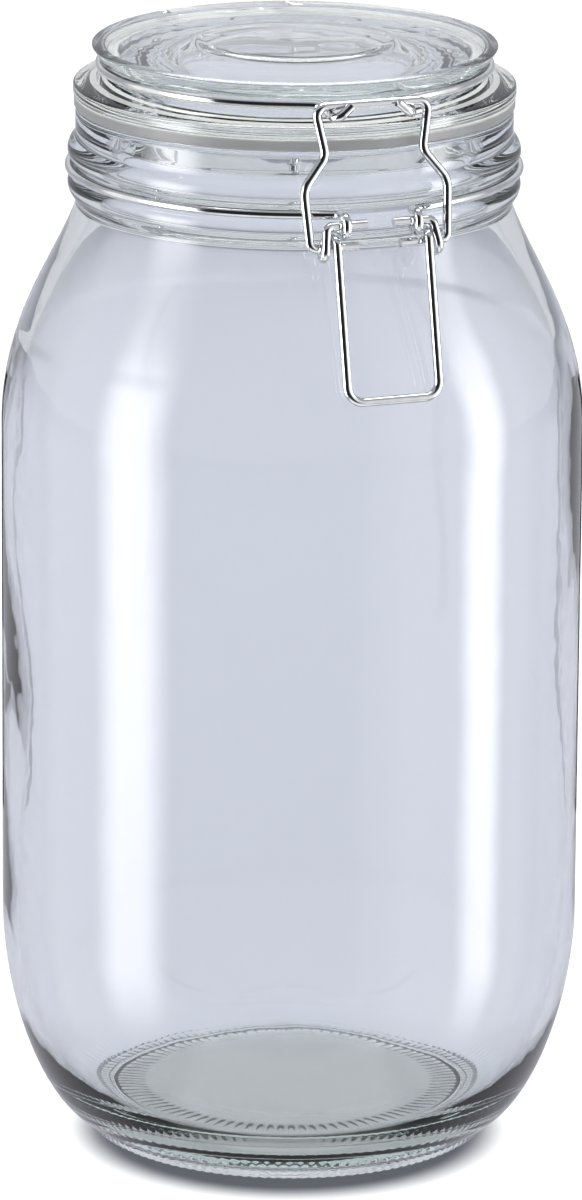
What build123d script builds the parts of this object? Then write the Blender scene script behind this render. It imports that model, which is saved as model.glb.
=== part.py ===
"""Clip-top storage jar: glass body, glass lid, rubber ring and four bent-wire pieces.

Millimetres, +Z up, origin at the centre of the base. The clasp is at -Y and the lid's hinge at +Y.
"""
import os
from math import cos, radians, sin

from build123d import *

# Jar body
BODY_R = 63.5
WALL = 3.5
BEARING_R = 44.7            # outer edge of the ring that the jar stands on
BEARING_WIDTH = 3.2
HEEL_TOP_Z = 50.0
SHOULDER_Z = 160.0
NECK_R = 47.0
NECK_Z = 209.8
BEAD_R = 49.1               # both beads of the finish
LOWER_BEAD_Z = 213.3
UPPER_BEAD_Z = 221.0
BEADS_TOP_Z = 224.2
MOUTH_BOTTOM_Z = 212.0      # where the straight mouth opens into the shoulder
MOUTH_R = 41.0
RIM_R = 47.4
RIM_Z = 230.3
RIM_ROUNDING = 1.5
FLOOR_Z = 8.0               # inside floor, next to the raised disc
FLOOR_R = 40.0              # where the floor starts to curve up into the heel
FLOOR_DISC_R = 30.0
FLOOR_DISC_RISE = 1.2
PUSH_UP = 2.4               # hollow under the base

# Wire
WIRE_R = 1.0
FIT = 0.1                   # running clearance of a wire eye round another wire
EYE = 2 * WIRE_R + FIT      # from the axis of an eye to its wire's centre line
NECK_GROOVE_R = 47.6
NECK_GROOVE_BOTTOM_Z = 216.3
NECK_GROOVE_TOP_Z = 218.1
NECK_RING_R = NECK_GROOVE_R + WIRE_R + FIT
NECK_RING_Z = 217.2

# Sealing ring and lid
SEAL_GAP = 0.1
SEAL_BOTTOM_Z = RIM_Z + SEAL_GAP
SEAL_THICKNESS = 2.6
SEAL_R = 47.7
LID_BOTTOM_Z = SEAL_BOTTOM_Z + SEAL_THICKNESS
LID_FLANGE_R = 47.9
BOSS_R = 38.2
BOSS_Z = 222.0
GROOVE_R = 41.0
DISC_R = 44.0
DISC_BOTTOM_Z = 240.8
LID_TOP_Z = 245.0
PANEL_R = 20.5              # raised centre of the lid
CEILING_Z = 236.5           # underside of the lid, inside its boss
HOLLOW_R = 16.0             # where the underside starts to curve down into the boss
FLANGE_EDGE_Z = 235.0
DISC_EDGE_Z = 243.8         # the disc is widest just under its top
GROOVE_BOTTOM_Z = 238.2
LID_RING_R = GROOVE_R + WIRE_R + FIT
LID_RING_Z = 239.5

# Pivot axes, all along X, as (distance outwards from the jar's axis, height)
LID_HINGE = (52.5, 236.0)
LEVER_PIVOT = (52.3, 215.6)
LINK_PIVOT = (51.9, 210.9)
LATCH_BAR = (46.8, 240.2)

HINGE_HALF_WIDTH = 18.0
HANDLE_BAR = (62.0, 179.5)


def front(x, out, z):
    """A point on the clasp's side, at a distance outwards from the jar's axis."""
    return (x, -out, z)


def rear(x, out, z):
    """A point on the hinge's side."""
    return (x, out, z)


def leave_ring(radius, angle, x):
    """Where the tangent that leaves a ring at this angle from the Y axis reaches this x: its distance outwards."""
    return (radius - x * sin(radians(angle))) / cos(radians(angle))


def mirrored(points):
    """The same points on the other side of the centre plane, in reverse order."""
    return [(-x, y, z) for x, y, z in reversed(points)]


def round_wire(path):
    """Sweep the round wire's section along the path of the open part."""
    with BuildSketch(Plane(origin=path @ 0, z_dir=path % 0)) as section:
        Circle(WIRE_R)
    sweep(sections=section.sketch, path=path)


# Jar: a hollow of revolution with a heel, a long cylinder, a shoulder and two beads under the rim
with BuildPart() as jar_glass:
    with BuildSketch(Plane.XZ):
        with BuildLine():
            bearing_inner = BEARING_R - BEARING_WIDTH
            heel_foot = (BEARING_R + 0.6, 2.4)
            Polyline((0, PUSH_UP), (bearing_inner - 2.5, PUSH_UP), (bearing_inner, 0), (BEARING_R, 0), heel_foot)
            Bezier(heel_foot, (54.2, 4.2), (BODY_R, 28.0), (BODY_R, HEEL_TOP_Z))
            Line((BODY_R, HEEL_TOP_Z), (BODY_R, SHOULDER_Z))
            Bezier((BODY_R, SHOULDER_Z), (BODY_R, 183.0), (51.5, 196.0), (NECK_R, NECK_Z))
            ThreePointArc((NECK_R, NECK_Z), (BEAD_R, LOWER_BEAD_Z), (NECK_GROOVE_R, NECK_GROOVE_BOTTOM_Z))
            Line((NECK_GROOVE_R, NECK_GROOVE_BOTTOM_Z), (NECK_GROOVE_R, NECK_GROOVE_TOP_Z))
            ThreePointArc((NECK_GROOVE_R, NECK_GROOVE_TOP_Z), (BEAD_R, UPPER_BEAD_Z), (RIM_R, BEADS_TOP_Z))
            rim_shoulder_z = RIM_Z - RIM_ROUNDING
            Line((RIM_R, BEADS_TOP_Z), (RIM_R, rim_shoulder_z))
            RadiusArc((RIM_R, rim_shoulder_z), (RIM_R - RIM_ROUNDING, RIM_Z), -RIM_ROUNDING)
            Line((RIM_R - RIM_ROUNDING, RIM_Z), (MOUTH_R + RIM_ROUNDING, RIM_Z))
            RadiusArc((MOUTH_R + RIM_ROUNDING, RIM_Z), (MOUTH_R, rim_shoulder_z), -RIM_ROUNDING)
            Line((MOUTH_R, rim_shoulder_z), (MOUTH_R, MOUTH_BOTTOM_Z))
            inner_r = BODY_R - WALL
            Bezier((MOUTH_R, MOUTH_BOTTOM_Z), (MOUTH_R + 6.5, 195.0), (inner_r, 182.0), (inner_r, SHOULDER_Z))
            Line((inner_r, SHOULDER_Z), (inner_r, HEEL_TOP_Z))
            Bezier((inner_r, HEEL_TOP_Z), (inner_r, 27.0), (52.0, FLOOR_Z), (FLOOR_R, FLOOR_Z))
            Line((FLOOR_R, FLOOR_Z), (FLOOR_DISC_R + 1.6, FLOOR_Z))
            Line((FLOOR_DISC_R + 1.6, FLOOR_Z), (FLOOR_DISC_R, FLOOR_Z + FLOOR_DISC_RISE))
            Line((FLOOR_DISC_R, FLOOR_Z + FLOOR_DISC_RISE), (0, FLOOR_Z + FLOOR_DISC_RISE))
            Line((0, FLOOR_Z + FLOOR_DISC_RISE), (0, PUSH_UP))
        make_face()
    revolve(axis=Axis.Z)
jar_glass.part.label = "jar_glass"

# Lid: a disc over a groove for the lid wire, a flange on the seal, and a hollow boss in the mouth
with BuildPart() as lid_glass:
    with BuildSketch(Plane.XZ):
        with BuildLine():
            Line((0, CEILING_Z), (HOLLOW_R, CEILING_Z))
            Bezier((HOLLOW_R, CEILING_Z), (30.0, CEILING_Z), (31.0, 228.0), (34.0, BOSS_Z))
            Polyline((34.0, BOSS_Z), (BOSS_R - 1.0, BOSS_Z), (BOSS_R, BOSS_Z + 1.0), (BOSS_R, LID_BOTTOM_Z),
                     (LID_FLANGE_R, LID_BOTTOM_Z), (LID_FLANGE_R, FLANGE_EDGE_Z), (LID_FLANGE_R - 0.8, 235.6),
                     (GROOVE_R + 0.8, 237.6), (GROOVE_R, GROOVE_BOTTOM_Z), (GROOVE_R, DISC_BOTTOM_Z),
                     (DISC_R - 1.9, DISC_BOTTOM_Z), (DISC_R, DISC_EDGE_Z), (DISC_R - 1.2, LID_TOP_Z - 0.6),
                     (PANEL_R + 1.5, LID_TOP_Z - 0.8))
            Line((PANEL_R + 1.5, LID_TOP_Z - 0.8), (PANEL_R, LID_TOP_Z))
            Line((PANEL_R, LID_TOP_Z), (0, LID_TOP_Z))
            Line((0, LID_TOP_Z), (0, CEILING_Z))
        make_face()
    revolve(axis=Axis.Z)
lid_glass.part.label = "lid_glass"

# Sealing ring: flat rubber round the boss, between the rim and the lid's flange
with BuildPart() as sealing_ring:
    with BuildSketch(Plane.XZ):
        with BuildLine():
            Polyline((BOSS_R, SEAL_BOTTOM_Z), (SEAL_R, SEAL_BOTTOM_Z), (SEAL_R, LID_BOTTOM_Z),
                     (BOSS_R, LID_BOTTOM_Z), close=True)
        make_face()
    revolve(axis=Axis.Z)
    outer_edges = sealing_ring.edges().filter_by(GeomType.CIRCLE).group_by(SortBy.RADIUS)[-1]
    fillet(outer_edges, radius=0.5)
sealing_ring.part.label = "sealing_ring"

# Neck wire: an eye round each end of the lever, a ring in the groove, and the hinge's raised bracket
NECK_FRONT_ANGLE = 22.0
NECK_REAR_ANGLE = 38.0
EYE_X = 8.1
lever_out, lever_z = LEVER_PIVOT
hinge_out, hinge_z = LID_HINGE
ring_end = NECK_RING_R * sin(radians(NECK_FRONT_ANGLE))
front_eye = [
    front(EYE_X, lever_out - EYE, lever_z - 0.6),
    front(EYE_X, lever_out - EYE, lever_z - EYE),
    front(EYE_X, lever_out + EYE, lever_z - EYE),
    front(EYE_X, lever_out + EYE, lever_z + EYE + 0.3),
    front(EYE_X, leave_ring(NECK_RING_R, NECK_FRONT_ANGLE, EYE_X), NECK_RING_Z),
    front(ring_end, NECK_RING_R * cos(radians(NECK_FRONT_ANGLE)), NECK_RING_Z),
]
bracket_start = rear(NECK_RING_R * sin(radians(NECK_REAR_ANGLE)), NECK_RING_R * cos(radians(NECK_REAR_ANGLE)),
                     NECK_RING_Z)
bracket_foot = rear(HINGE_HALF_WIDTH, leave_ring(NECK_RING_R, NECK_REAR_ANGLE, HINGE_HALF_WIDTH), NECK_RING_Z)
bracket_top = rear(HINGE_HALF_WIDTH, hinge_out, hinge_z)
half_bracket = [bracket_start, bracket_foot, bracket_top]
with BuildPart() as neck_wire:
    with BuildLine() as neck_path:
        FilletPolyline(*front_eye, radius=[1.4, 2.0, 2.0, 1.8])
        CenterArc((0, 0, NECK_RING_Z), NECK_RING_R, NECK_FRONT_ANGLE - 90, 180 - NECK_FRONT_ANGLE - NECK_REAR_ANGLE)
        FilletPolyline(*half_bracket, *mirrored(half_bracket), radius=[3.0, 2.5, 2.5, 3.0])
        CenterArc((0, 0, NECK_RING_Z), NECK_RING_R, 90 + NECK_REAR_ANGLE, 180 - NECK_FRONT_ANGLE - NECK_REAR_ANGLE)
        FilletPolyline(*mirrored(front_eye), radius=[1.8, 2.0, 2.0, 1.4])
    round_wire(neck_path.wires()[0])
neck_wire.part.label = "neck_wire"

# Lid wire: a hook under the latch bar at each end, a ring in the lid's groove, and two coils on the hinge bar
LID_FRONT_ANGLE = 24.0
LID_REAR_ANGLE = 30.0
HOOK_ROOT_X = 9.8
COIL_X = 13.8
bar_out, bar_z = LATCH_BAR
hook = [
    front(5.2, bar_out + EYE, bar_z + 0.3),
    front(8.6, bar_out + EYE, bar_z - EYE - 0.6),
    front(HOOK_ROOT_X, leave_ring(LID_RING_R, LID_FRONT_ANGLE, HOOK_ROOT_X), LID_RING_Z),
    front(LID_RING_R * sin(radians(LID_FRONT_ANGLE)), LID_RING_R * cos(radians(LID_FRONT_ANGLE)), LID_RING_Z),
]
half_hinge = [
    rear(LID_RING_R * sin(radians(LID_REAR_ANGLE)), LID_RING_R * cos(radians(LID_REAR_ANGLE)), LID_RING_Z),
    rear(COIL_X, leave_ring(LID_RING_R, LID_REAR_ANGLE, COIL_X), LID_RING_Z),
    rear(COIL_X, hinge_out + EYE, hinge_z + EYE),
    rear(COIL_X - 0.5, hinge_out + EYE, hinge_z - EYE),
    rear(COIL_X - 1.4, hinge_out - EYE, hinge_z - EYE),
    rear(COIL_X - 2.2, hinge_out - EYE, hinge_z + EYE + 0.2),
]
with BuildPart() as lid_wire:
    with BuildLine() as lid_path:
        FilletPolyline(*hook, radius=[1.9, 3.0])
        CenterArc((0, 0, LID_RING_Z), LID_RING_R, LID_FRONT_ANGLE - 90, 180 - LID_FRONT_ANGLE - LID_REAR_ANGLE)
        FilletPolyline(*half_hinge, *mirrored(half_hinge),
                       radius=[3.0, 2.0, 2.0, 2.0, 1.8, 1.8, 2.0, 2.0, 2.0, 3.0])
        CenterArc((0, 0, LID_RING_Z), LID_RING_R, 90 + LID_REAR_ANGLE, 180 - LID_FRONT_ANGLE - LID_REAR_ANGLE)
        FilletPolyline(*mirrored(hook), radius=[3.0, 1.9])
    round_wire(lid_path.wires()[0])
lid_wire.part.label = "lid_wire"

# Link: the waisted loop that the lever pulls down, with its open ends turned inwards at the link pivot
link_out, link_z = LINK_PIVOT


def on_link(x, z):
    """A point of the link at this height, on the straight line from its pivot to the latch bar."""
    share = (z - link_z) / (bar_z - link_z)
    return front(x, link_out + share * (bar_out - link_out), z)


half_link = [
    on_link(4.8, link_z),
    on_link(15.4, link_z),
    on_link(16.2, 223.4),
    on_link(10.9, 230.0),
    on_link(12.8, bar_z),
]
with BuildPart() as bail_link:
    with BuildLine() as link_path:
        FilletPolyline(*half_link, *mirrored(half_link), radius=[1.6, 5.0, 3.6, 2.1, 2.1, 3.6, 5.0, 1.6])
    round_wire(link_path.wires()[0])
bail_link.part.label = "bail_link"

# Lever: a U handle whose arms coil round the link's ends and then reach inwards through the neck wire's eyes
ARM_X = 10.3
CRANK_X = 13.1              # lower end of the crank, outside the arm
handle_out, handle_z = HANDLE_BAR
half_lever = [
    front(3.0, lever_out, lever_z),
    front(CRANK_X - 1.2, lever_out, lever_z),
    front(CRANK_X, link_out + EYE + 1.0, link_z - EYE - 0.1),
    front(CRANK_X - 0.8, link_out - EYE, link_z - EYE - 0.1),
    front(ARM_X + 0.8, link_out - EYE, link_z + EYE + 0.05),
    front(ARM_X, link_out + EYE + 0.2, link_z + EYE + 0.05),
    front(ARM_X, handle_out, handle_z),
]
with BuildPart() as bail_lever:
    with BuildLine() as lever_path:
        FilletPolyline(*half_lever, *mirrored(half_lever),
                       radius=[1.5, 2.0, 2.0, 2.0, 2.0, 3.4, 3.4, 2.0, 2.0, 2.0, 2.0, 1.5])
    round_wire(lever_path.wires()[0])
bail_lever.part.label = "bail_lever"

os.makedirs("parts", exist_ok=True)
for piece in (jar_glass, lid_glass, sealing_ring, neck_wire, lid_wire, bail_link, bail_lever):
    export_step(piece.part, f"parts/{piece.part.label}.step")
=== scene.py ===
"""Looks for the clip-top jar: clear pressed glass, a pale rubber ring and bright wire, on a white table."""
from math import cos, hypot, pi, radians, sin

import bpy
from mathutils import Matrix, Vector


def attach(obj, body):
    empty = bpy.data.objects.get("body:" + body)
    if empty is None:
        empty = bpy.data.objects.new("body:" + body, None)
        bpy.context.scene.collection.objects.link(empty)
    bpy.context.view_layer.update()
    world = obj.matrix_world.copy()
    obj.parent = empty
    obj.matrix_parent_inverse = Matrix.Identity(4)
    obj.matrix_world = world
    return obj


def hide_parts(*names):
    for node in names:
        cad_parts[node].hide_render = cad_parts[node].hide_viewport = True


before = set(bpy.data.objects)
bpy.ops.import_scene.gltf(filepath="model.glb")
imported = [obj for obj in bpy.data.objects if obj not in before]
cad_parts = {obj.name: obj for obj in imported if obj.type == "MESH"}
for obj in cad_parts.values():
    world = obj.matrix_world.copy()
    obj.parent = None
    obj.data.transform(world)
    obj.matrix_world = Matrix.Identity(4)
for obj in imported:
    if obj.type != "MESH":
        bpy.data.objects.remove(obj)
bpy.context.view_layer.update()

MM = 0.001

# ---------------------------------------------------------------- sizes, in millimetres
BODY_R = 63.5
WALL = 3.5
INNER_R = BODY_R - WALL
BEARING_R = 44.7            # outer edge of the ring that the jar stands on
PUSH_UP = 2.4               # hollow under the base
HEEL_TOP_Z = 50.0
SHOULDER_Z = 160.0
NECK_R = 47.0
NECK_Z = 209.8
BEAD_R = 49.1
LOWER_BEAD_Z = 213.3
UPPER_BEAD_Z = 221.0
BEADS_TOP_Z = 224.2
NECK_GROOVE_R = 47.6
NECK_GROOVE_BOTTOM_Z = 216.3
NECK_GROOVE_TOP_Z = 218.1
RIM_R = 47.4
RIM_Z = 230.3
RIM_ROUNDING = 1.5
MOUTH_R = 41.0
MOUTH_BOTTOM_Z = 212.0
FLOOR_Z = 8.0
FLOOR_R = 40.0              # where the floor starts to curve up into the heel
FLOOR_DISC_R = 30.0
FLOOR_DISC_RISE = 0.6

RIB_COUNT = 96              # pressed ribs round the underside
RIB_DEPTH = 0.55
KNURL_COUNT = 128           # on the bearing ring and up the foot
RING_KNURL_DEPTH = 0.25
FOOT_KNURL_DEPTH = 0.3
FOOT_KNURL_TOP_Z = 7.0
WAVE_DEPTH = 0.17           # of the slow waves inside the body

SEAL_TOP_Z = 233.0
LID_BOTTOM_Z = SEAL_TOP_Z + 0.05    # a hair above the seal, so that the two faces never coincide
LID_TOUCH_Z = SEAL_TOP_Z - 0.05     # where rubber and glass touch
TOUCH_RINGS = ((39.4, 40.6), (41.7, 43.3))
TOUCH_SLOPE = 0.2
TOUCH_ROUNDING = 0.02
LID_FLANGE_R = 47.9
LID_FLANGE_EDGE_Z = 235.6
BOSS_R = 38.15
BOSS_INNER_R = 34.0
BOSS_Z = 222.0
LID_GROOVE_R = 41.0
LID_GROOVE_Z = 238.0
DISC_R = 44.0
DISC_BOTTOM_Z = 240.8
DISC_EDGE_Z = 243.8         # the disc is widest just under its top
LID_TOP_Z = 245.0
PANEL_R = 20.5              # raised centre of the lid
CEILING_Z = 236.5           # underside of the lid, inside its boss
HOLLOW_R = 16.0             # where the underside starts to curve down into the boss
TURNED_RING_SPACING = 2.4
TURNED_RING_DEPTH = 0.03
CEILING_WAVE_DEPTH = 0.04


# ---------------------------------------------------------------- outlines, as lists of (radius, height)
def line(a, b, steps=4):
    """Points from a to just before b."""
    return [(a[0] + (b[0] - a[0]) * i / steps, a[1] + (b[1] - a[1]) * i / steps) for i in range(steps)]


def bezier(a, b, c, d, steps=24):
    """A cubic curve from a to just before d."""
    points = []
    for i in range(steps):
        t = i / steps
        w = ((1 - t) ** 3, 3 * (1 - t) ** 2 * t, 3 * (1 - t) * t ** 2, t ** 3)
        points.append(tuple(w[0] * a[k] + w[1] * b[k] + w[2] * c[k] + w[3] * d[k] for k in (0, 1)))
    return points


def bulge(a, top, b, steps=14):
    """A round bead from a over its crown to just before b."""
    control = tuple(2 * top[k] - (a[k] + b[k]) / 2 for k in (0, 1))
    points = []
    for i in range(steps):
        t = i / steps
        w = ((1 - t) ** 2, 2 * (1 - t) * t, t * t)
        points.append(tuple(w[0] * a[k] + w[1] * control[k] + w[2] * b[k] for k in (0, 1)))
    return points


def corner(a, at, b, radius, steps=5):
    """A rounded corner at a point between a and b, as points of a smooth curve."""
    ends = []
    for p in (a, b):
        run = hypot(p[0] - at[0], p[1] - at[1])
        ends.append(tuple(at[k] + (p[k] - at[k]) * radius / run for k in (0, 1)))
    crown = tuple((ends[0][k] + ends[1][k]) / 4 + at[k] / 2 for k in (0, 1))
    return bulge(ends[0], crown, ends[1], steps) + [ends[1]]


def rounded(points, radii):
    """An open outline through the points, with each inner corner rounded by its radius."""
    outline = [points[0]]
    for i, radius in enumerate(radii, start=1):
        outline += corner(points[i - 1], points[i], points[i + 1], radius)
    return outline + [points[-1]]


def split_long(outline, longest=3.0):
    """The outline with long straight runs divided, so that waves can bend them."""
    points = []
    for a, b in zip(outline, outline[1:]):
        steps = max(1, round(hypot(b[0] - a[0], b[1] - a[1]) / longest))
        points += line(a, b, steps)
    return points + [outline[-1]]


# ---------------------------------------------------------------- meshes
def lathe(name, outline, shift, sides=384):
    """A closed solid of revolution. The outline starts and ends on the axis; shift moves each point."""
    verts = []
    faces = []
    rings = []
    for radius, z in outline:
        if radius < 1e-6:
            rings.append([len(verts)])
            verts.append((0, 0, z * MM))
            continue
        ring = []
        for i in range(sides):
            angle = 2 * pi * i / sides
            r, h = shift(radius, z, angle)
            ring.append(len(verts))
            verts.append((r * cos(angle) * MM, r * sin(angle) * MM, h * MM))
        rings.append(ring)
    for low, high in zip(rings, rings[1:]):
        for i in range(sides):
            j = (i + 1) % sides
            if len(low) == 1:
                faces.append((low[0], high[j], high[i]))
            elif len(high) == 1:
                faces.append((low[i], low[j], high[0]))
            else:
                faces.append((low[i], low[j], high[j], high[i]))
    mesh = bpy.data.meshes.new(name)
    mesh.from_pydata(verts, [], faces)
    mesh.update()
    mesh.shade_smooth()
    piece = bpy.data.objects.new(name, mesh)
    bpy.context.scene.collection.objects.link(piece)
    return piece


def smooth_step(low, high, value):
    """0 below low, 1 above high, and a smooth rise between them."""
    t = min(max((value - low) / (high - low), 0.0), 1.0)
    return t * t * (3 - 2 * t)


def ridges(count, angle):
    """Equal ridges round the axis, from 0 in the valleys to 1 on the crests."""
    return 0.5 + 0.5 * cos(count * angle)


# ---------------------------------------------------------------- jar
def jar_outline():
    foot = (BEARING_R + 0.6, 2.4)
    under = rounded([(0, PUSH_UP), (BEARING_R - 5.7, PUSH_UP), (BEARING_R - 3.2, 0), (BEARING_R, 0), foot],
                    [1.2, 0.8, 0.9])
    under = split_long(under, 1.5)[:-1]
    outside = bezier(foot, (54.2, 4.2), (BODY_R, 28.0), (BODY_R, HEEL_TOP_Z), 30)
    outside += line((BODY_R, HEEL_TOP_Z), (BODY_R, SHOULDER_Z), 36)
    outside += bezier((BODY_R, SHOULDER_Z), (BODY_R, 183.0), (51.5, 196.0), (NECK_R, NECK_Z), 36)
    groove_bottom = (NECK_GROOVE_R, NECK_GROOVE_BOTTOM_Z)
    groove_top = (NECK_GROOVE_R, NECK_GROOVE_TOP_Z)
    outside += bulge((NECK_R, NECK_Z), (BEAD_R, LOWER_BEAD_Z), groove_bottom)
    outside += line(groove_bottom, groove_top, 3)
    outside += bulge(groove_top, (BEAD_R, UPPER_BEAD_Z), (RIM_R, BEADS_TOP_Z))
    mouth_bottom = (MOUTH_R, MOUTH_BOTTOM_Z)
    rim = rounded([(RIM_R, BEADS_TOP_Z), (RIM_R, RIM_Z), (MOUTH_R, RIM_Z), mouth_bottom],
                  [RIM_ROUNDING, RIM_ROUNDING])
    rim = split_long(rim[:-1], 2.0)[:-1] + [rim[-2]]
    inside = bezier(mouth_bottom, (MOUTH_R + 6.5, 195.0), (INNER_R, 182.0), (INNER_R, SHOULDER_Z), 36)
    inside += line((INNER_R, SHOULDER_Z), (INNER_R, HEEL_TOP_Z), 36)
    inside += bezier((INNER_R, HEEL_TOP_Z), (INNER_R, 27.0), (52.0, FLOOR_Z), (FLOOR_R, FLOOR_Z), 30)
    disc_z = FLOOR_Z + FLOOR_DISC_RISE
    step_foot = (FLOOR_DISC_R + 4.0, FLOOR_Z)
    step_top = (FLOOR_DISC_R - 6.0, disc_z)
    floor = line((FLOOR_R, FLOOR_Z), step_foot, 6)
    floor += bezier(step_foot, (FLOOR_DISC_R, FLOOR_Z), (FLOOR_DISC_R, disc_z), step_top, 14)
    floor += [step_top, (0, disc_z)]
    return under + outside + rim + inside + split_long(floor, 3.0)


def jar_shift(r, z, angle):
    """Ribs under the base, a knurled bearing ring and foot, and the slow waves of blown glass inside."""
    inside = r < INNER_R + 0.2 and z > FLOOR_Z - 0.1
    if not inside and z < 3.0:
        rib_zone = smooth_step(33.0, 34.5, r) * (1 - smooth_step(38.0, 39.0, r))
        z += RIB_DEPTH * rib_zone * ridges(RIB_COUNT, angle)
        ring_zone = smooth_step(BEARING_R - 3.4, BEARING_R - 2.4, r) * (1 - smooth_step(0.5, 2.4, z))
        z += RING_KNURL_DEPTH * ring_zone * ridges(KNURL_COUNT, angle)
    if not inside and z < FOOT_KNURL_TOP_Z and r > BEARING_R - 0.5:
        foot_zone = 1 - smooth_step(4.0, FOOT_KNURL_TOP_Z, z)
        r -= FOOT_KNURL_DEPTH * foot_zone * ridges(KNURL_COUNT, angle)
    if inside and z > 14.0:
        body_zone = smooth_step(14.0, 60.0, z) * (1 - smooth_step(185.0, 208.0, z))
        wave = sin(3 * angle + 0.031 * z) + 0.7 * sin(5 * angle - 0.052 * z + 1.3)
        wave += 0.5 * sin(0.11 * z + 2 * angle) + 0.35 * sin(9 * angle + 0.09 * z + 0.4)
        r += WAVE_DEPTH * body_zone * wave
    return r, z


jar = lathe("jar_body", jar_outline(), jar_shift)
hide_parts("jar_glass")
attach(jar, "jar")
jar.visible_shadow = False


# ---------------------------------------------------------------- lid
def lid_underside():
    """The flange's flat underside, with two narrow rings that dip into the seal."""
    points = [(BOSS_R, LID_BOTTOM_Z)]
    for inner, outer in TOUCH_RINGS:
        points += [(inner, LID_BOTTOM_Z), (inner + TOUCH_SLOPE, LID_TOUCH_Z),
                   (outer - TOUCH_SLOPE, LID_TOUCH_Z), (outer, LID_BOTTOM_Z)]
    return points + [(LID_FLANGE_R, LID_BOTTOM_Z)]


def lid_outline():
    hollow = line((0, CEILING_Z), (HOLLOW_R, CEILING_Z), 12)
    hollow += bezier((HOLLOW_R, CEILING_Z), (30.0, CEILING_Z), (31.0, 228.0), (BOSS_INNER_R, BOSS_Z), 40)
    underside = lid_underside()
    flange = [(LID_FLANGE_R, LID_FLANGE_EDGE_Z), (LID_GROOVE_R, LID_GROOVE_Z), (LID_GROOVE_R, DISC_BOTTOM_Z)]
    disc = [(DISC_R - 1.9, DISC_BOTTOM_Z), (DISC_R, DISC_EDGE_Z), (DISC_R - 1.2, LID_TOP_Z - 0.6)]
    panel = [(PANEL_R + 1.5, LID_TOP_Z - 0.8), (PANEL_R, LID_TOP_Z), (0, LID_TOP_Z)]
    side = rounded([(BOSS_INNER_R, BOSS_Z), (BOSS_R, BOSS_Z)] + underside + flange + disc + panel,
                   [1.0, 0.3] + [TOUCH_ROUNDING] * (len(underside) - 2)
                   + [0.6, 0.7, 0.4, 0.4, 0.6, 0.5, 0.7, 0.8, 0.8])
    return hollow + split_long(side, 0.8)


def lid_shift(r, z, angle):
    """Fine turned rings on the top, and a slightly uneven pressed ceiling inside the boss."""
    if z > LID_TOP_Z - 1.2 and r > PANEL_R + 2:
        ring_zone = smooth_step(23.0, 26.0, r) * (1 - smooth_step(36.0, 39.0, r))
        z += TURNED_RING_DEPTH * cos(2 * pi * (r - PANEL_R) / TURNED_RING_SPACING) * ring_zone
    if 230.0 < z < CEILING_Z + 0.5 and r < BOSS_INNER_R + 2.0:
        z += CEILING_WAVE_DEPTH * sin(3 * angle + 0.1 * r) * smooth_step(2.0, 12.0, r)
    return r, z


lid = lathe("lid_disc", lid_outline(), lid_shift)
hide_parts("lid_glass")
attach(lid, "lid")
lid.visible_shadow = False


# ---------------------------------------------------------------- materials
def new_material(name):
    """A material with its nodes, its links and its shader."""
    material = bpy.data.materials.new(name)
    material.use_nodes = True
    nodes = material.node_tree.nodes
    shader = nodes["Principled BSDF"]
    return material, nodes, material.node_tree.links, shader


def add_bump(nodes, links, shader, height, strength, distance):
    """Fine relief from a height, this many metres deep at full strength."""
    bump = nodes.new("ShaderNodeBump")
    bump.inputs["Strength"].default_value = strength
    bump.inputs["Distance"].default_value = distance
    links.new(height, bump.inputs["Height"])
    links.new(bump.outputs["Normal"], shader.inputs["Normal"])


def object_noise(nodes, links, scale, detail=2.0):
    """Noise that stays with the piece as it moves."""
    coords = nodes.new("ShaderNodeTexCoord")
    noise = nodes.new("ShaderNodeTexNoise")
    noise.inputs["Scale"].default_value = scale
    noise.inputs["Detail"].default_value = detail
    links.new(coords.outputs["Object"], noise.inputs["Vector"])
    return noise.outputs["Fac"]


def glass_material(name, tint, density):
    """Clear soda glass: bright in thin walls, grey-green where it is thick."""
    material, nodes, links, shader = new_material(name)
    shader.inputs["Base Color"].default_value = (*tint, 1)
    shader.inputs["Transmission Weight"].default_value = 1.0
    shader.inputs["Roughness"].default_value = 0.0
    shader.inputs["IOR"].default_value = 1.5
    add_bump(nodes, links, shader, object_noise(nodes, links, 55.0), strength=0.25, distance=0.0004)
    absorb = nodes.new("ShaderNodeVolumeAbsorption")
    absorb.inputs["Color"].default_value = (*GLASS_DEPTH_TINT, 1)
    absorb.inputs["Density"].default_value = density
    links.new(absorb.outputs["Volume"], nodes["Material Output"].inputs["Volume"])
    return material


def rubber_material():
    """Natural pale rubber, slightly see-through, with a faint moulded texture."""
    material, nodes, links, shader = new_material("pale_rubber")
    ramp = nodes.new("ShaderNodeValToRGB")
    ramp.color_ramp.elements[0].color = (0.50, 0.50, 0.48, 1)
    ramp.color_ramp.elements[1].color = (0.64, 0.64, 0.61, 1)
    links.new(object_noise(nodes, links, 60.0, 4.0), ramp.inputs["Fac"])
    links.new(ramp.outputs["Color"], shader.inputs["Base Color"])
    shader.inputs["Roughness"].default_value = 0.42
    shader.inputs["Subsurface Weight"].default_value = 0.3
    shader.inputs["Subsurface Radius"].default_value = (1.0, 0.9, 0.8)
    shader.inputs["Subsurface Scale"].default_value = 0.002
    grain = object_noise(nodes, links, 900.0, 3.0)
    add_bump(nodes, links, shader, grain, strength=0.3, distance=0.0001)
    return material


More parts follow.
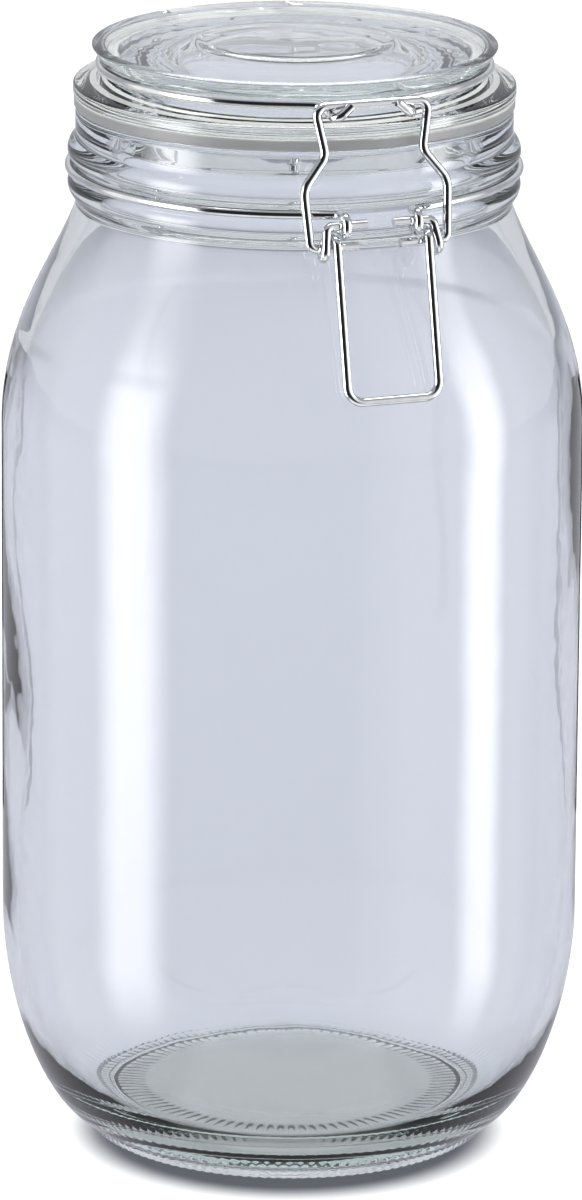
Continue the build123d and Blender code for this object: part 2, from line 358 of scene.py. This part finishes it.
def wire_material():
    """Bright zinc-plated wire with faint draw marks."""
    material, nodes, links, shader = new_material("bright_wire")
    shader.inputs["Metallic"].default_value = 1.0
    ramp = nodes.new("ShaderNodeValToRGB")
    ramp.color_ramp.elements[0].color = (0.62, 0.63, 0.64, 1)
    ramp.color_ramp.elements[1].color = (0.86, 0.87, 0.88, 1)
    links.new(object_noise(nodes, links, 400.0, 5.0), ramp.inputs["Fac"])
    links.new(ramp.outputs["Color"], shader.inputs["Base Color"])
    rough = nodes.new("ShaderNodeMapRange")
    rough.inputs["To Min"].default_value = 0.04
    rough.inputs["To Max"].default_value = 0.13
    links.new(object_noise(nodes, links, 700.0, 4.0), rough.inputs["Value"])
    links.new(rough.outputs["Result"], shader.inputs["Roughness"])
    draw_marks = object_noise(nodes, links, 1500.0, 3.0)
    add_bump(nodes, links, shader, draw_marks, strength=0.15, distance=0.00004)
    return material


GLASS_DEPTH_TINT = (0.80, 0.89, 0.86)
jar.data.materials.append(glass_material("jar_clear_glass", (0.95, 0.955, 0.965), 16.0))
lid.data.materials.append(glass_material("lid_clear_glass", (0.985, 0.99, 0.99), 10.0))
rubber = rubber_material()
wire = wire_material()
for node, material in (("sealing_ring", rubber), ("neck_wire", wire), ("lid_wire", wire),
                       ("bail_link", wire), ("bail_lever", wire)):
    cad_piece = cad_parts[node]
    if not cad_piece.material_slots:
        cad_piece.data.materials.append(material)
    for material_slot in cad_piece.material_slots:
        material_slot.material = material


# ---------------------------------------------------------------- camera
CAMERA_AZIMUTH = radians(-20.3)
CAMERA_DROP = radians(15.8)
CAMERA_DISTANCE = 1.8
CAMERA_ROLL = radians(0.42)
SENSOR_WIDTH = 36
LENS = 245.7
AIM = Vector((0, 0, 0.119))     # metres, about half way up the jar


def around(azimuth, elevation, distance):
    """A point seen from the jar at this azimuth (0 is the clasp's side) and elevation."""
    return Vector((sin(azimuth) * cos(elevation), -cos(azimuth) * cos(elevation), sin(elevation))) * distance


camera_data = bpy.data.cameras.new("camera")
camera_data.sensor_width = SENSOR_WIDTH
camera_data.lens = LENS
camera = bpy.data.objects.new("camera", camera_data)
camera.location = AIM + around(CAMERA_AZIMUTH, CAMERA_DROP, CAMERA_DISTANCE)
camera.rotation_euler = (AIM - camera.location).to_track_quat("-Z", "Y").to_euler()
camera.rotation_euler.rotate_axis("Z", CAMERA_ROLL)
bpy.context.scene.collection.objects.link(camera)
bpy.context.scene.camera = camera


# ---------------------------------------------------------------- boards and lamp
WHITE = (1.0, 1.0, 1.0)
COOL_WHITE = (0.93, 0.94, 1.0)
GREY = (0.60, 0.60, 0.66)
DARK = (0.02, 0.02, 0.025)


def studio_place(azimuth, elevation, distance):
    """A place round the jar, at degrees from the photographer's side, and the turn that faces the jar."""
    place = AIM + around(CAMERA_AZIMUTH + radians(azimuth), radians(elevation), distance)
    return place, (AIM - place).to_track_quat("-Z", "Y").to_euler()


def board(name, azimuth, elevation, distance, width, height, color, strength=1.0, soft=0.0, in_glass=False):
    """A flat glowing board that the glass and the wire reflect, unseen by the camera itself."""
    w, h = width / 2, height / 2
    mesh = bpy.data.meshes.new(name)
    mesh.from_pydata([(-w, -h, 0), (w, -h, 0), (w, h, 0), (-w, h, 0)], [], [(0, 1, 2, 3)])
    piece = bpy.data.objects.new(name, mesh)
    piece.location, piece.rotation_euler = studio_place(azimuth, elevation, distance)
    material, nodes, links, shader = new_material(name)
    nodes.remove(shader)
    emission = nodes.new("ShaderNodeEmission")
    emission.inputs["Color"].default_value = (*color, 1)
    emission.inputs["Strength"].default_value = strength
    links.new(emission.outputs["Emission"], nodes["Material Output"].inputs["Surface"])
    if soft:
        fade_edges(nodes, links, emission, w, h, soft)
    mesh.materials.append(material)
    bpy.context.scene.collection.objects.link(piece)
    piece.visible_camera = False
    piece.visible_diffuse = False
    piece.visible_shadow = False
    piece.visible_transmission = in_glass


def fade_edges(nodes, links, emission, w, h, soft):
    """Let a board fade away over the outer part of its width and height, like a diffused softbox."""
    coords = nodes.new("ShaderNodeTexCoord")
    axes = nodes.new("ShaderNodeSeparateXYZ")
    links.new(coords.outputs["Object"], axes.inputs["Vector"])
    fades = []
    for axis, half in (("X", w), ("Y", h)):
        size = nodes.new("ShaderNodeMath")
        size.operation = "ABSOLUTE"
        links.new(axes.outputs[axis], size.inputs[0])
        fade = nodes.new("ShaderNodeMapRange")
        fade.interpolation_type = "SMOOTHSTEP"
        fade.inputs["From Min"].default_value = half
        fade.inputs["From Max"].default_value = half * (1 - soft)
        links.new(size.outputs["Value"], fade.inputs["Value"])
        fades.append(fade)
    product = nodes.new("ShaderNodeMath")
    product.operation = "MULTIPLY"
    links.new(fades[0].outputs["Result"], product.inputs[0])
    links.new(fades[1].outputs["Result"], product.inputs[1])
    clear = nodes.new("ShaderNodeBsdfTransparent")
    mix = nodes.new("ShaderNodeMixShader")
    links.new(product.outputs["Value"], mix.inputs["Fac"])
    links.new(clear.outputs["BSDF"], mix.inputs[1])
    links.new(emission.outputs["Emission"], mix.inputs[2])
    links.new(mix.outputs["Shader"], nodes["Material Output"].inputs["Surface"])


def lamp(name, azimuth, elevation, distance, size, watts):
    """A square lamp that faces the jar."""
    data = bpy.data.lights.new(name, "AREA")
    data.shape = "SQUARE"
    data.size = size
    data.energy = watts
    piece = bpy.data.objects.new(name, data)
    piece.location, piece.rotation_euler = studio_place(azimuth, elevation, distance)
    piece.visible_camera = False
    piece.visible_transmission = False
    bpy.context.scene.collection.objects.link(piece)


# ---------------------------------------------------------------- table
TABLE_HALF = 6.0
OPEN_TABLE = (1, 1, 1, 1)
# Painted shadow: the table's colour is darkened round the jar's foot, both as the camera sees it and as the
# glass passes it
PAINTED_SHADOW_UNDER_FOOT = (0.035, 0.04, 0.055, 1)
# Painted shade: what the glass and bounce light see is a darker, lavender copy of the white table
SHADED_TABLE_IN_GLASS = (0.553, 0.565, 0.625, 1)
PAINTED_SHADOW_IN_GLASS = (0.29, 0.306, 0.309, 1)
SHADE_CENTRE = (-0.0031, -0.0084, 0)    # centre of the painted shadow: under the jar, leaning away from the lamp
SHADE_START = 0.040
SHADE_END = 0.052
SHADE_END_IN_GLASS = 0.056

table_mesh = bpy.data.meshes.new("table")
table_mesh.from_pydata([(-TABLE_HALF, -TABLE_HALF, 0), (TABLE_HALF, -TABLE_HALF, 0),
                        (TABLE_HALF, TABLE_HALF, 0), (-TABLE_HALF, TABLE_HALF, 0)], [], [(0, 1, 2, 3)])
table = bpy.data.objects.new("table", table_mesh)
table_material, table_nodes, table_links, table_shader = new_material("white_table")
table_shader.inputs["Roughness"].default_value = 0.8
# The table is white to look at, and a darker pale lavender grey as the jar's glass gathers it: a shaded copy
# of the table, painted shade for the light that the glass walls lose
shaded_table_copy = table_nodes.new("ShaderNodeBsdfDiffuse")
table_ray = table_nodes.new("ShaderNodeLightPath")
table_mix = table_nodes.new("ShaderNodeMixShader")
table_links.new(table_ray.outputs["Is Camera Ray"], table_mix.inputs["Fac"])
table_links.new(shaded_table_copy.outputs["BSDF"], table_mix.inputs[1])
table_links.new(table_shader.outputs["BSDF"], table_mix.inputs[2])
table_links.new(table_mix.outputs["Shader"], table_nodes["Material Output"].inputs["Surface"])


def paint_foot_shadow(under, open_table, reach, target):
    """Painted shadow in the table's colour: darker under the jar's thick foot and fading out to this reach
    round it.
    """
    coords = table_nodes.new("ShaderNodeTexCoord")
    distance = table_nodes.new("ShaderNodeVectorMath")
    distance.operation = "DISTANCE"
    distance.inputs[1].default_value = SHADE_CENTRE
    fade = table_nodes.new("ShaderNodeMapRange")
    fade.interpolation_type = "SMOOTHSTEP"
    fade.inputs["From Min"].default_value = SHADE_START
    fade.inputs["From Max"].default_value = reach
    colour = table_nodes.new("ShaderNodeMix")
    colour.data_type = "RGBA"
    colour.inputs["A"].default_value = under
    colour.inputs["B"].default_value = open_table
    table_links.new(coords.outputs["Object"], distance.inputs[0])
    table_links.new(distance.outputs["Value"], fade.inputs["Value"])
    table_links.new(fade.outputs["Result"], colour.inputs["Factor"])
    table_links.new(colour.outputs["Result"], target)


# Painted shadow round the foot, in the colour the camera sees and in the colour the glass passes
paint_foot_shadow(PAINTED_SHADOW_UNDER_FOOT, OPEN_TABLE, SHADE_END, table_shader.inputs["Base Color"])
paint_foot_shadow(PAINTED_SHADOW_IN_GLASS, SHADED_TABLE_IN_GLASS, SHADE_END_IN_GLASS, shaded_table_copy.inputs["Color"])
table_mesh.materials.append(table_material)
bpy.context.scene.collection.objects.link(table)
table.visible_glossy = False


# ---------------------------------------------------------------- what stands round the jar
board("strip_left", -64, 0, 0.9, 0.62, 1.5, WHITE, strength=9.0, soft=0.8)
board("strip_right", 79, 0, 0.9, 0.42, 1.5, WHITE, strength=9.0, soft=0.8)
board("dark_front", -14, 12, 2.6, 5.8, 4.8, DARK, soft=0.25)
board("fill_left", -88, 0, 2.2, 2.4, 4.0, WHITE, strength=1.1, soft=0.5)
board("fill_right", 73, 0, 2.2, 4.0, 4.0, WHITE, strength=1.1, soft=0.5)
for side, name in ((-1, "left"), (1, "right")):
    board(f"dark_back_{name}", side * 146, -32, 2.6, 3.6, 2.9, GREY, soft=0.3)
    board(f"flag_{name}", side * 96.1, 0, 0.0659, 0.006, 0.10, DARK, in_glass=True)
board("back_glow", 180, 24, 2.4, 4.0, 1.6, COOL_WHITE, strength=0.75, soft=0.3)
board("floor_glow", 0, -62, 2.0, 3.0, 2.0, WHITE, strength=1.1, soft=0.3)
lamp("overhead", 180, 68, 1.7, 1.2, watts=30)


# ---------------------------------------------------------------- room
ROOM_COLOUR = (0.93, 0.95, 1.0, 1)
ROOM_IN_VIEW = 1.05
ROOM_IN_GLASS = 0.78
ROOM_LIGHT = 0.50           # for everything that isn't looked at directly or through the glass

world = bpy.data.worlds.new("studio")
world.use_nodes = True
world_nodes = world.node_tree.nodes
world_links = world.node_tree.links
background = world_nodes["Background"]
background.inputs["Color"].default_value = ROOM_COLOUR
ray = world_nodes.new("ShaderNodeLightPath")
in_view = world_nodes.new("ShaderNodeMapRange")
in_view.inputs["To Min"].default_value = ROOM_LIGHT
in_view.inputs["To Max"].default_value = ROOM_IN_VIEW
in_glass = world_nodes.new("ShaderNodeMapRange")
in_glass.inputs["To Max"].default_value = ROOM_IN_GLASS
world_links.new(ray.outputs["Is Camera Ray"], in_view.inputs["Value"])
world_links.new(in_view.outputs["Result"], in_glass.inputs["To Min"])
world_links.new(ray.outputs["Is Transmission Ray"], in_glass.inputs["Value"])
world_links.new(in_glass.outputs["Result"], background.inputs["Strength"])
bpy.context.scene.world = world
bpy.context.scene.view_settings.view_transform = "Standard"
